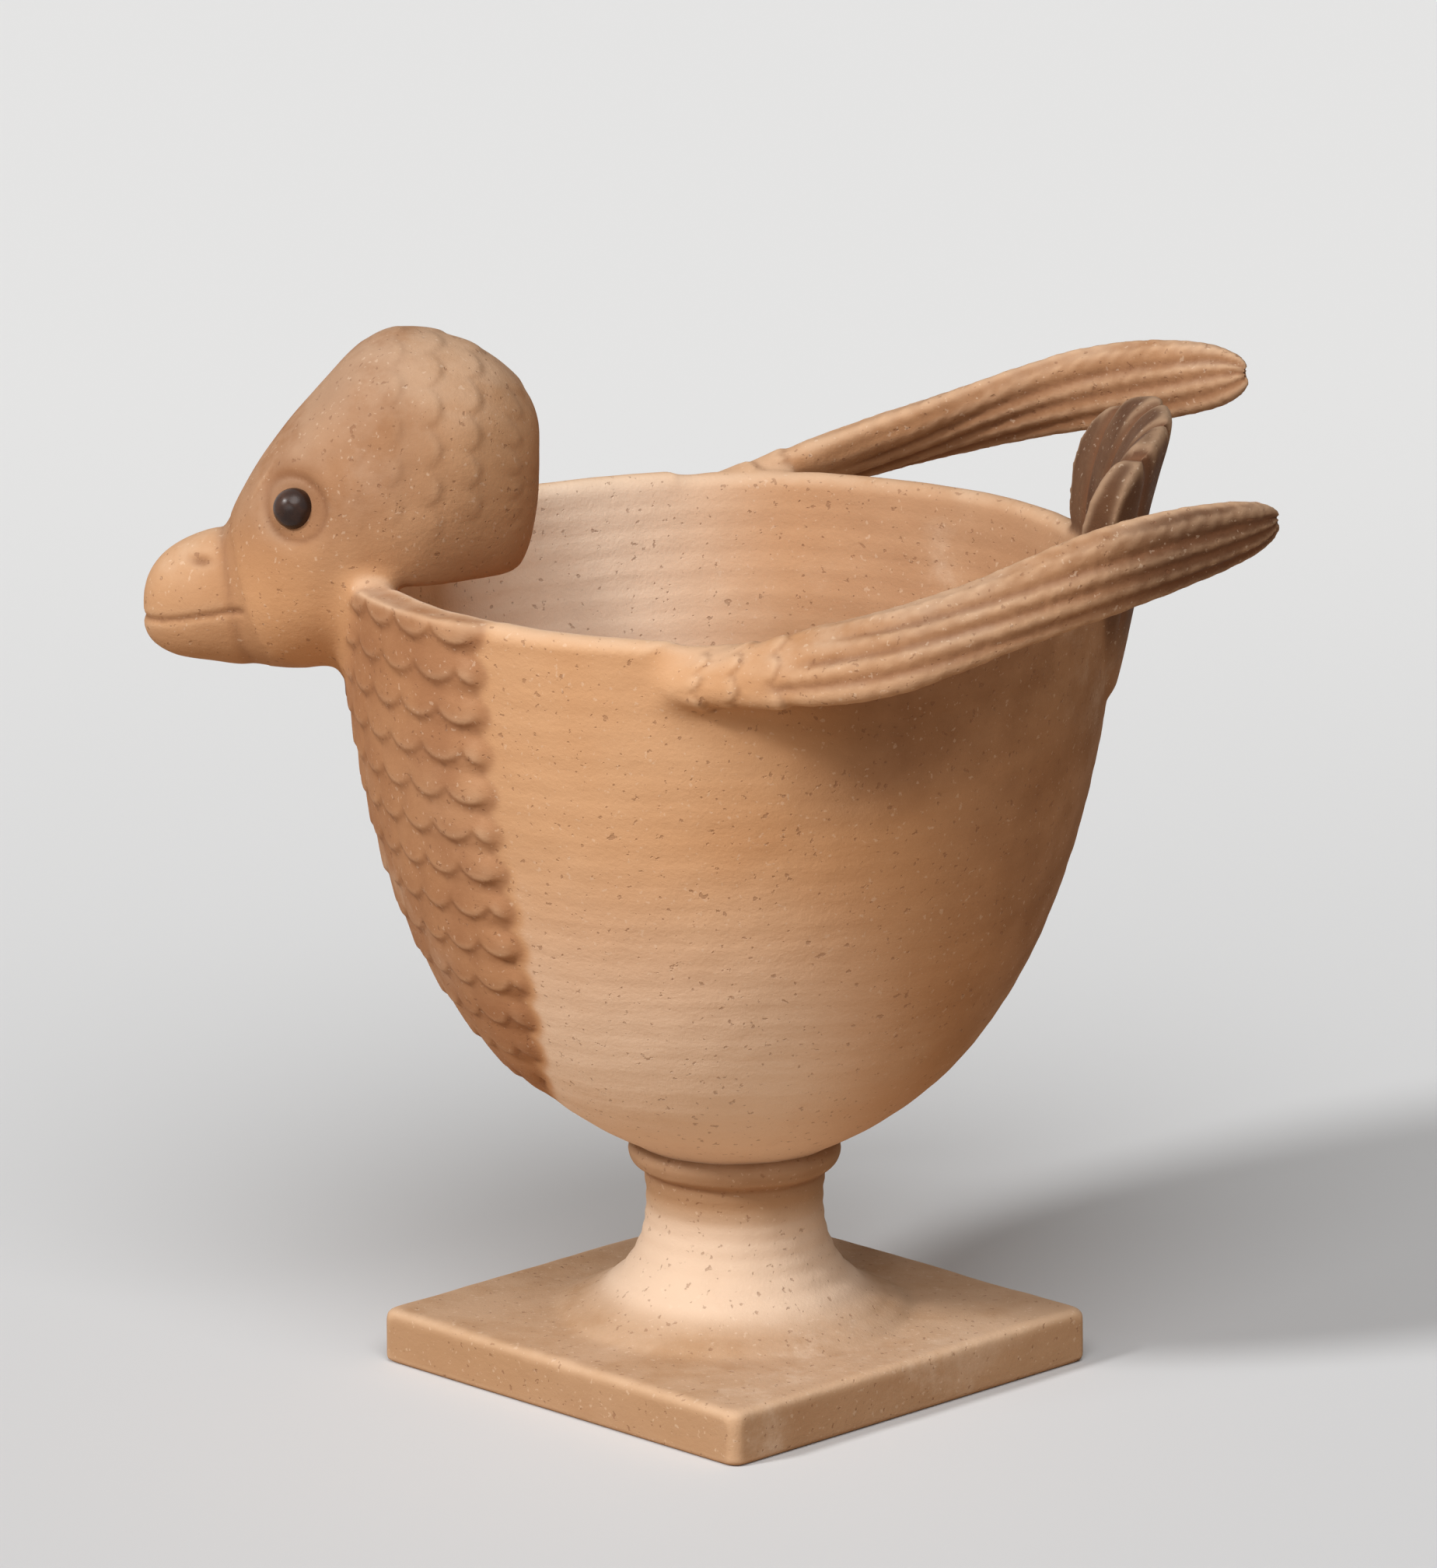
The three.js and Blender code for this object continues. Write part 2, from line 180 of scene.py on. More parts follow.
def bowl_form():
    lip = WALL / 2
    floor = BASE + BOWL_FLOOR
    outer = [p for p in WALL_CURVE if p[1] < RIM - lip]
    a = np.linspace(0, math.pi, 13)
    rim = np.stack([RIM_R - lip + lip * np.cos(a), RIM - lip + lip * np.sin(a)], 1)
    inner = [(r - WALL, z) for r, z in reversed(outer) if z > floor + WALL]
    middle = [(FOOT_R * 0.7, floor + 2), (FOOT_R * 0.3, floor)]
    return turned([(FOOT_R - LUTED, BASE - FOOT_SUNK), *outer, *rim, *inner, *middle])


def head_section(t):
    top, bottom, half = spline(HEAD, t)
    x = mix(HEAD_BACK, FACE_FRONT, (1 - math.cos(math.pi * t)) / 2)
    return x, RIM + HEAD_H * (top + bottom) / 2, half * HEAD_W, HEAD_H * (top - bottom) / 2


def beak_section(t):
    top, bottom, half = spline(BEAK, t)
    x = mix(BEAK_TIP + BEAK_L, BEAK_TIP, math.sin(math.pi * t / 2))
    return x, RIM + BEAK_H * (top + bottom) / 2, half * BEAK_W, BEAK_H * (top - bottom) / 2


def skin(section, steps, facets):
    """Upright oval rings along X."""
    rings = []
    for i in range(steps + 1):
        x, z, across, up = section(i / steps)
        rings.append(oval(np.array([x, 0, z]), [0, across, 0], [0, 0, up], facets))
    return np.asarray(rings)


def head_form():
    """The head, flat on the rim where it stands over the opening."""
    rings = skin(head_section, steps=60, facets=80)
    seat = RIM - HEAD_SEAT
    over_opening = np.hypot(rings[..., 0], rings[..., 1]) < RIM_R - HEAD_LEDGE
    rings[..., 2] = np.where(over_opening & (rings[..., 2] < seat), seat, rings[..., 2])
    return loft(rings)


def beak_form():
    return loft(skin(beak_section, steps=30, facets=48))


def wall_ring(z, half, outer, inner, facing, steps):
    """A level ring of a panel that lies on the wall, half an angle to each side of its facing."""
    share = np.linspace(-1, 1, steps + 1)
    front = [around(outer(s), facing + s * half, z) for s in share]
    back = [around(inner, facing + s * half, z) for s in share[::-1]]
    return front + back


def breast_form():
    """The breast panel, rounded below, with a notch at its sides between the rows of feathers."""
    rings = []
    for t in np.linspace(0, 1, 160) ** 1.4:
        z = mix(BREAST_LOW, BREAST_TOP, t)
        full = math.sqrt(1 - 0.94 * (1 - t) ** 7)
        wall = wall_radius(z)
        notch = 1 - abs(math.sin(math.pi * ((RIM - z) / SCALE_ROW + 0.2)))

        def outer(s):
            return wall + BREAST_THICK * full * math.sqrt(1 - 0.98 * s**6)

        half = BREAST_HALF * full * (1 - 0.06 * notch)
        rings.append(wall_ring(z, half, outer, wall - LUTED, facing=0, steps=48))
    return loft(rings)


def wing_edges():
    """The lower and upper edges of the far wing, from the shoulder to the tip."""
    side, flare, depth, drop, rise = RIM_R, WING_FLARE, WING_DEPTH, WING_DROP, WING_RISE
    first = around(side, WING_SHOULDER, RIM - drop)
    reach = WING_REACH - 0.5
    lower = [
        first,
        (side * 0.08, side + flare * 0.5, RIM - drop * 0.72),
        (side * 0.42, side + flare, RIM - drop * 0.3),
        (mix(side * 0.42, reach, 0.48), side + flare * 0.3, RIM + rise * 0.24),
        (reach, WING_HALF_SPAN - WING_LEAN, RIM + rise - depth * 0.5),
    ]
    upper = [
        (first[0] + depth * 0.2, first[1], first[2] + depth * 0.6),
        (side * 0.12, side, RIM + rise * 0.08),
        (side * 0.45, side + flare * 0.3, RIM + rise * 0.42),
        (mix(side * 0.45, reach, 0.48), side + flare * 0.2, RIM + rise),
        (reach - 4, WING_HALF_SPAN + WING_LEAN, RIM + rise + depth * 0.36),
    ]
    return lower, upper


def wing_rings(steps, facets):
    """Oval rings between the far wing's two edges, closer together at both ends."""
    lower, upper = wing_edges()
    rings = []
    for i in range(steps + 1):
        t = (1 - math.cos(math.pi * i / steps)) / 2
        low, high = spline(lower, t), spline(upper, t)
        ahead = spline(lower, min(t + 0.01, 1)) - spline(lower, max(t - 0.01, 0))
        up = (high - low) / 2
        out = np.cross(up, ahead)
        out /= np.linalg.norm(out)
        ends = math.sqrt(max(0.03, 1 - abs(2 * t - 1) ** 9))
        half = WING_HALF_THICK * ends * mix(1, 0.8, t)
        rings.append(oval((low + high) / 2, out * half, up * ends, facets))
    return np.asarray(rings)


def tail_form():
    rings = []
    for t in np.linspace(0, 1, 90):
        z = mix(RIM - TAIL_DROP, RIM + TAIL_RISE, math.sin(math.pi * t / 2))
        above = max(0.0, (z - RIM) / TAIL_RISE)
        below = max(0.0, (RIM - z) / TAIL_DROP)
        thick = TAIL_THICK * math.sqrt(max(0.02, 1 - above**5)) * mix(1, 0.35, below)
        wall = wall_radius(min(z, RIM))
        face = wall + mix(0.45, 0.3, above) * thick + TAIL_LEAN * above**1.5

        def outer(s):
            return face - thick * 0.3 * s**4

        back = face - thick if above > 0 else wall - LUTED
        half = mix(TAIL_HALF, TAIL_FAN, above) * math.sqrt(1 - 0.9 * above**4) * mix(1, 0.5, below)
        rings.append(wall_ring(z, half, outer, back, facing=math.pi, steps=40))
    return loft(rings)


def stem_form():
    height = STEM_TOP - PLINTH_TOP
    flare = bezier(
        (STEM_FOOT_R, PLINTH_TOP + STEM_FOOT_EDGE),
        (mix(STEM_FOOT_R, STEM_WAIST_R, 0.75), PLINTH_TOP + height * 0.2),
        (STEM_WAIST_R - 1, PLINTH_TOP + height * 0.5),
        (STEM_TOP_R, STEM_TOP),
        count=60,
    )
    foot = [(STEM_FOOT_R - 1, STEM_ROOT), (STEM_FOOT_R - 0.5, PLINTH_TOP)]
    return turned([*foot, *flare, (STEM_TOP_R - 1, STEM_TOP + 2)])


def collar_form():
    bulge = (BASE - STEM_TOP) / 2
    a = np.linspace(-math.pi / 2, math.pi / 2, 21)
    roll = np.stack([COLLAR_R - bulge + bulge * np.cos(a), STEM_TOP + bulge + bulge * np.sin(a)], 1)
    return turned([(COLLAR_INNER, STEM_TOP - 1), *roll, (COLLAR_INNER, BASE)])


def plinth_form():
    """The square slab, cornerwise, with soft corners and edges."""
    quarter = math.pi / 2

    def ring(inset, z):
        reach = (PLINTH_HALF - inset - PLINTH_CORNER) * math.sqrt(2)
        points = []
        for corner in (0, -1, -2, -3):
            middle = around(reach, corner * quarter, z)
            turns = (corner + np.linspace(0.5, -0.5, 10)) * quarter
            points += [middle + around(PLINTH_CORNER, turn, 0) for turn in turns]
        return points

    soft, a = PLINTH_EDGE, np.linspace(0, quarter, 7)
    rings = [ring(soft * 0.5 * (1 - math.sin(x)), soft * 0.5 * (1 - math.cos(x))) for x in a]
    rings += [ring(soft * (1 - math.cos(x)), PLINTH_TOP - soft + soft * math.sin(x)) for x in a]
    return loft(rings)


def mesh_object(name, points, faces):
    mesh = bpy.data.meshes.new(name)
    mesh.from_pydata((np.asarray(points) * MM).tolist(), [], faces)
    mesh.update()
    piece = bpy.data.objects.new(name, mesh)
    bpy.context.scene.collection.objects.link(piece)
    return piece


def fused(name, forms):
    """One skin over several overlapping forms, as clay pieces that were luted together."""
    points, faces, start = [], [], 0
    for p, f in forms:
        points.append(p)
        faces += [tuple(i + start for i in face) for face in f]
        start += len(p)
    raw = mesh_object(name + "_raw", np.vstack(points), faces)
    remesh = raw.modifiers.new("fuse", "REMESH")
    remesh.mode = "VOXEL"
    remesh.voxel_size = VOXEL * MM
    graph = bpy.context.evaluated_depsgraph_get()
    mesh = bpy.data.meshes.new_from_object(raw.evaluated_get(graph))
    mesh.name = name
    bpy.data.objects.remove(raw)
    piece = bpy.data.objects.new(name, mesh)
    bpy.context.scene.collection.objects.link(piece)
    return piece


class Clay:
    """The points of a fused skin, in millimetres, with the means to relax, push and paint them."""

    def __init__(self, piece):
        self.mesh = piece.data
        count = len(self.mesh.vertices)
        flat = np.empty(count * 3, np.float32)
        self.mesh.vertices.foreach_get("co", flat)
        self.co = flat.reshape(-1, 3).astype(float) / MM
        edges = np.empty(len(self.mesh.edges) * 2, np.int32)
        self.mesh.edges.foreach_get("vertices", edges)
        self.a, self.b = edges.reshape(-1, 2).T
        self.degree = np.bincount(self.a, minlength=count) + np.bincount(self.b, minlength=count)

    def mean(self, values):
        n = len(values)
        total = np.bincount(self.a, values[self.b], n) + np.bincount(self.b, values[self.a], n)
        return total / self.degree

    def relax(self, rounds, weight):
        for _ in range(rounds):
            near = np.stack([self.mean(self.co[:, k]) for k in range(3)], 1)
            self.co += np.asarray(weight).reshape(-1, 1) * (near - self.co)

    def soften(self, values, rounds):
        for _ in range(rounds):
            values = 0.5 * values + 0.5 * self.mean(values)
        return values

    def store(self):
        self.mesh.vertices.foreach_set("co", (self.co * MM).astype(np.float32).ravel())
        self.mesh.update()

    def normals(self):
        self.store()
        flat = np.empty(len(self.co) * 3, np.float32)
        self.mesh.vertex_normals.foreach_get("vector", flat)
        return flat.reshape(-1, 3).astype(float)

    def paint(self, name, values):
        layer = self.mesh.attributes.new(name, "FLOAT", "POINT")
        layer.data.foreach_set("value", np.clip(values, 0, 1).astype(np.float32))

    def finish(self, painted_shade, breast_tone_and_light):
        """Stores the shape, and what the clay's colour follows: painted shade in the hollows and grooves,
        rubbed edges, and the darker tone of the breast and head with painted light in it.
        """
        shape = self.co.copy()
        normals = self.normals()
        self.relax(rounds=14, weight=0.6)
        bend = np.einsum("ij,ij->i", shape - self.co, normals)
        self.co = shape
        self.store()
        # Painted shade: darker in the hollows and grooves
        self.paint("hollow_shade", painted_shade + smooth(0.12, 0.6, -bend))
        self.paint("worn", smooth(0.1, 0.5, bend))
        self.paint("breast", breast_tone_and_light)
        for polygon in self.mesh.polygons:
            polygon.use_smooth = True


def distance_to(form, co, reach):
    """How far each point lies from a form's surface, up to reach."""
    points, faces = form
    tree = BVHTree.FromPolygons([Vector(p) for p in points], faces)
    far = np.full(len(co), reach)
    box = np.all((co > points.min(0) - reach) & (co < points.max(0) + reach), axis=1)
    for i in np.nonzero(box)[0]:
        hit = tree.find_nearest(Vector(co[i]), reach)
        if hit[3] is not None:
            far[i] = hit[3]
    return far


def nearest_on(grid, co, chosen):
    """For chosen points, the nearest sample of a ring grid, as shares along and around it."""
    m, k, _ = grid.shape
    tree = KDTree(m * k)
    for i, p in enumerate(grid.reshape(-1, 3)):
        tree.insert(Vector(p), i)
    tree.balance()
    index = np.array([tree.find(Vector(p))[1] for p in co[chosen]], int)
    return index // k / (m - 1), (index % k + 0.5) / k


def wander(co, size, seed):
    """A soft random field over the points, about -1 to 1."""
    shift = Vector((seed * 17.3, seed * 5.1, seed * 9.7))
    return np.array([noise.noise(Vector(p) / size + shift) for p in co])


def scales(u, v):
    """Overlapping scales in unit columns and rows: how near their round ends, and how far they stand off."""
    edge, lift = np.zeros((2, len(u)))
    covered = np.zeros(len(u), bool)
    for step in (-1, 0, 1):
        row = np.floor(v) + step
        shift = np.where(row % 2 == 0, 0.0, 0.5)
        x = (u - shift) - np.floor(u - shift) - 0.5
        far = np.hypot(x, v - row)
        inside = (far < 0.66) & (v > row - 0.3) & ~covered
        edge = np.where(inside, smooth(0.5, 0.66, far), edge)
        lift = np.where(inside, np.clip(v - row + 0.3, 0, 1) - 1.2 * x**2, lift)
        covered |= inside
    return edge, lift


# The body, fused from its pieces
wing = loft(wing_rings(steps=120, facets=72))
forms = {
    "bowl": bowl_form(),
    "head": head_form(),
    "beak": beak_form(),
    "breast": breast_form(),
    "wing": wing,
    "mirror": mirrored(wing),
    "tail": tail_form(),
}
body = fused("bird_body", list(forms.values()))
clay = Clay(body)
clay.relax(rounds=4, weight=0.5)

# Soft fillets where pieces are luted, widest at the nape and shoulders, crisper at the breast's edge
SHOULDER_X = -18.0
near = {name: distance_to(form, clay.co, reach=9.0) for name, form in forms.items()}
second = np.sort(np.stack(list(near.values())), axis=0)[1]
joint = 1 - smooth(1.0, 5.0, second)
clear = np.all([near[name] > 6 for name in ("head", "wing", "mirror")], axis=0)
joint = np.where((near["breast"] < 2) & (near["bowl"] < 8) & clear, joint * 0.25, joint)
clay.relax(rounds=16, weight=0.6 * joint)
nape = (near["head"] < 7) & (near["breast"] < 7) & (clay.co[:, 2] < RIM + 4)
clay.relax(rounds=50, weight=0.6 * clay.soften(nape.astype(float), rounds=6))
shoulder = 1 - smooth(6, 40, np.abs(clay.co[:, 0] - SHOULDER_X))
shoulder *= np.minimum(near["wing"], near["mirror"]) < 8
clay.relax(rounds=60, weight=0.55 * shoulder)

# What the relief follows: push lifts the skin along its normal, in millimetres; the other field darkens its
# grooves and hollows with painted shade
x, y, z = clay.co.T
radius = np.hypot(x, y)
angle = np.arctan2(np.abs(y), -x)
wall_here = wall_radius(np.clip(z, BASE, RIM))
outside = radius > wall_here - 3.5
push, painted_shade = np.zeros((2, len(x)))


def own(name, reach):
    """1 on a form's own skin, 0 at a reach from it."""
    return 1 - smooth(reach * 0.5, reach, near[name])


def placed(chosen, values):
    """Values at chosen points, and 0 at all the others."""
    full = np.zeros(len(clay.co))
    full[chosen] = values
    return full


def feathers(mask, edge, lift, stand, depth):
    """The relief of overlapping feathers, and their edges."""
    edges = clay.soften(mask * edge, rounds=1)
    return stand * clay.soften(mask * (lift - 0.4), rounds=1) - depth * edges, edges


# Turning rings, fainter outside than inside
RING_PITCH, RING_FINE = 7.6, 3.3
sway = wander(clay.co, size=60.0, seed=1)
coarse = np.sin(z * 2 * math.pi / RING_PITCH + 2.2 * sway)
fine = np.sin(z * 2 * math.pi / RING_FINE + 4 * sway)
on_bowl = own("bowl", 2.5) * (1 - own("breast", 3))
push += on_bowl * (coarse + 0.35 * fine) * np.where(outside, 0.04, 0.08)

# Breast feathers, whose columns narrow towards the foot, with painted shade in their edges
BREAST_COLUMNS = 6.9  # to a radian
on_breast = own("breast", 1.8) * (near["head"] > 4) * outside
on_breast *= smooth(0, 6, (BREAST_HALF - angle) * radius)
edge, lift = scales(angle * np.sign(y) * BREAST_COLUMNS, (RIM - z) / SCALE_ROW)
relief, edges = feathers(on_breast, edge, lift, stand=1.1, depth=0.8)
push += relief
painted_shade += 0.7 * edges

# Nape feathers, lower, fading out towards the face, with painted shade in their edges
NAPE_ROW, NAPE_COLUMNS, NAPE_AXIS = 10.5, 3.3, RIM + 18
on_nape = own("head", 2.0) * smooth(-112, -78, x) * smooth(RIM + 6, RIM + 22, z)
edge, lift = scales(np.arctan2(y, z - NAPE_AXIS) * NAPE_COLUMNS, x / NAPE_ROW)
relief, edges = feathers(on_nape, edge, lift, stand=0.55, depth=0.35)
push += relief
painted_shade += 0.25 * edges

# Wing feathers: rows of short coverts over the shoulder, then long flights with separate ends; painted shade
# in the covert edges, the flight grooves and the barbs
COVERT_ROW, COVERT_COLUMNS, BARBS = 0.085, 1.3, 42
wing_grid = wing_rings(steps=360, facets=96)
for side, name in ((1, "wing"), (-1, "mirror")):
    chosen = np.nonzero(near[name] < 2.0)[0]
    along, turn = nearest_on(wing_grid * [1, side, 1], clay.co, chosen)
    across = np.sin(2 * math.pi * turn)
    mask = own(name, 2.0)

    share = (1 - np.cos(math.pi * along)) / 2
    coverts = smooth(0.03, 0.08, share) * (1 - smooth(0.3, 0.36, share))
    edge, lift = scales(COVERT_COLUMNS * across + 0.25, share / COVERT_ROW + 0.3)
    edge, lift = placed(chosen, edge), placed(chosen, lift)
    relief, edges = feathers(placed(chosen, coverts) * mask, edge, lift, stand=1.0, depth=0.7)
    push += relief
    painted_shade += 0.7 * edges

    fan = across + 0.25 * np.sin(3.0 * along)
    flights = np.zeros(len(chosen))
    for level in (-0.5, 0.0, 0.5):
        start = 0.36 + 0.1 * level
        flights = np.maximum(flights, groove(fan - level, 0.1) * smooth(start, start + 0.06, along))
    lap = (2 * fan - np.floor(2 * fan) - 0.5) * smooth(0.36, 0.44, along) * (1 - smooth(0.9, 0.99, along))
    marks = clay.soften(placed(chosen, flights) * mask, rounds=2)
    ends = clay.soften(placed(chosen, flights * smooth(0.88, 0.99, along)) * mask, rounds=1)
    laps = clay.soften(placed(chosen, lap) * mask, rounds=4)
    push += laps - 1.2 * marks - 2.4 * ends
    painted_shade += 0.9 * marks

    vane = np.abs(2 * fan - np.round(2 * fan))
    comb = 0.5 + 0.5 * np.sin(2 * math.pi * (along * BARBS + 1.3 * vane))
    comb *= smooth(0.4, 0.48, along) * (1 - smooth(0.92, 0.97, along))
    barbs = placed(chosen, comb) * mask * (1 - np.clip(2 * marks, 0, 1))
    push -= 0.12 * barbs
    painted_shade += 0.16 * barbs

# Tail feathers, fanned from the rim, with separate ends and painted shade in their grooves
above = np.clip((z - RIM) / TAIL_RISE, -1, 1)
spread = (math.pi - angle) * np.sign(y) / mix(TAIL_HALF, TAIL_FAN, np.clip(above, 0, 1))
lines = np.zeros(len(x))
for level in (-0.66, -0.24, 0.24, 0.66):
    lines = np.maximum(lines, groove(spread - level, 0.05))
lines *= (near["tail"] < 1.8) * smooth(-0.55, -0.25, above)
push -= (1 + 1.8 * smooth(0.7, 0.95, above)) * lines
painted_shade += 0.8 * lines

# A dish and a ring round each eye, darkened with painted shade
eye_low, eye_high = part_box("eye_far")
eye = np.array((eye_low + eye_high) / 2) / MM
eye_r = (eye_high.x - eye_low.x) / 2 / MM
eye_far = np.hypot(x - eye[0], z - eye[2])
cheek = own("head", 2.0) * (np.abs(y) > eye[1] * 0.5)
ring = cheek * groove(eye_far - eye_r * 1.5, 0.9)
dish = cheek * (1 - smooth(eye_r * 0.8, eye_r * 2.4, eye_far))
push -= 0.5 * ring + 1.3 * dish
painted_shade += 0.5 * ring + 0.35 * dish

# The beak's mouth line, two nostrils, and the crease where it meets the face, darkened with painted shade
on_beak = own("beak", 2.0) * (x < FACE_FRONT + 14)
mouth_level = mix(RIM - 16.5, RIM - 12, smooth(BEAK_TIP, FACE_FRONT + 8, x))
mouth = on_beak * groove(z - mouth_level, 0.9) * (1 - smooth(FACE_FRONT + 2, FACE_FRONT + 9, x))
nostril = on_beak * groove(np.hypot((x - FACE_FRONT + 6) / 2.2, z - (RIM + 0.5)), 1.2) * (np.abs(y) > 4)
cere = (near["beak"] < 2.5) * groove(near["head"] - 1.2, 1.1) * (x < FACE_FRONT + 12)
push -= 0.9 * mouth + 1.2 * nostril + 0.5 * cere
painted_shade += 0.8 * mouth + nostril + 0.4 * cere

# The hand's unevenness all over
push += 0.45 * wander(clay.co, size=34.0, seed=2) + 0.16 * wander(clay.co, size=9.0, seed=3)
clay.co += clay.normals() * push[:, None]
clay.relax(rounds=1, weight=0.25)

# Painted shade on the tail and on the outer faces and undersides of the wing tips
facing = clay.normals()
outward = (facing[:, 0] * x + facing[:, 1] * y) / np.maximum(radius, 1)
shaded_tips = np.maximum(own("wing", 2.5), own("mirror", 2.5)) * smooth(84, 118, x)
shaded_tips *= smooth(-0.1, 0.35, outward - 0.4 * facing[:, 2])
fan = own("tail", 2.5) * smooth(RIM - 34, RIM - 8, z)
clay.paint("painted_tip_shade", clay.soften(np.maximum(shaded_tips, fan), rounds=6))

# A darker wash on the face, the beak and the wings, the wings darker towards the tail; on the head painted
# light as well, lighter towards the back and low down where the head is in shade; painted shade on the
# tail's side of the bowl, inside and out, and a painted shadow under the wings
bare = own("breast", 4) < 0.1
# Lighter towards the back of the head and near the rim: painted light
head_wash_and_light = own("head", 3) * smooth(RIM - 12, RIM + 28, z) * mix(1.1, 0.35, smooth(-102, -60, x))
head_wash_and_light += 0.3 * own("beak", 3)
on_wing = np.maximum(own("wing", 3), own("mirror", 3)) * smooth(-25, 60, x)
# Painted shadow under the wings
painted_wing_shadow = smooth(4, 44, x) * smooth(RIM - 62, RIM - 34, z)
# Painted shade on the tail's side of the bowl, outside and inside
painted_tail_side_shade = np.where(outside, np.maximum(smooth(22, 88, x), painted_wing_shadow), 0.55 * smooth(-10, 60, x))
painted_tail_side_shade *= np.maximum(own("bowl", 3), own("tail", 3)) * bare
wash_and_painted_shade = np.maximum(np.maximum(head_wash_and_light, 0.9 * on_wing), painted_tail_side_shade)
clay.paint("wash_and_painted_shade", clay.soften(wash_and_painted_shade, rounds=10))

# Pale slip inside, made paler towards the head, which is painted light where the head shades the wall; and
# paler low on the front of the bowl, painted light that stands for light thrown up from the floor
slip_and_light = (radius < wall_here - 4.5) & (near["bowl"] < 2) & (z > BASE + 8)
slip_and_light = slip_and_light * smooth(2, 9, near["head"]) * (1 - 0.9 * smooth(-48, 20, x))
painted_low_light = own("bowl", 3) * outside * bare * (1 - smooth(BASE + 25, BASE + 110, z)) * (1 - smooth(5, 60, x))
clay.paint("slip_and_light", clay.soften(np.maximum(slip_and_light, 0.85 * painted_low_light), rounds=5))

# A darker tone on the breast and, thinner, on the head, with less of it at the top of the breast where the
# head shades it, which is painted light; and painted shade in the undercut over the collar
breast_tone_and_light = own("breast", 2.2) * outside * (near["head"] > 2.5) * smooth(1, 9, near["head"])
breast_tone_and_light = clay.soften(np.maximum(breast_tone_and_light, 0.36 * head_wash_and_light), rounds=4)
painted_shade += 0.4 * groove(z - BASE, 5.0) * (radius < 42)
clay.finish(painted_shade, breast_tone_and_light)

# The pedestal: plinth, stem and collar, with turning rings on the stem, painted light that makes its waist
# paler, and painted shade under the collar
STEM_RING_PITCH = 4.6
pedestal = fused("pedestal", [plinth_form(), stem_form(), collar_form()])
foot = Clay(pedestal)
foot.relax(rounds=3, weight=0.5)
foot_x, foot_y, foot_z = foot.co.T
seat = groove(np.hypot(np.hypot(foot_x, foot_y) - STEM_FOOT_R + 1, foot_z - PLINTH_TOP), 5.0)
foot.relax(rounds=20, weight=0.6 * seat)
rings = 0.12 * np.sin(foot_z * 2 * math.pi / STEM_RING_PITCH) * (foot_z > PLINTH_TOP + 4)
uneven = 0.4 * wander(foot.co, size=30.0, seed=4) + 0.15 * wander(foot.co, size=8.0, seed=5)
off_floor = smooth(0.3, 3.0, foot_z)
foot.co += foot.normals() * ((rings + uneven) * off_floor)[:, None]
# Paler round the waist: painted light
lit_waist = smooth(PLINTH_TOP + 3, PLINTH_TOP + 10, foot_z)
lit_waist *= 1 - smooth(STEM_TOP - 16, STEM_TOP - 5, foot_z)
foot.paint("slip_and_light", 0.7 * lit_waist)
# Painted shade under the collar
foot.finish(0.4 * smooth(STEM_TOP - 7, STEM_TOP - 1, foot_z), np.zeros(len(foot_z)))


def node(tree, kind, **values):
    made = tree.nodes.new(kind)
    for key, value in values.items():
        setattr(made, key, value)
    return made


def seen(tree):
    """1 for what is seen straight or in a reflection, 0 for what only lights other things."""
    path = node(tree, "ShaderNodeLightPath")
    either = node(tree, "ShaderNodeMath", operation="MAXIMUM")
    tree.links.new(path.outputs["Is Camera Ray"], either.inputs[0])
    tree.links.new(path.outputs["Is Glossy Ray"], either.inputs[1])
    return either.outputs[0]


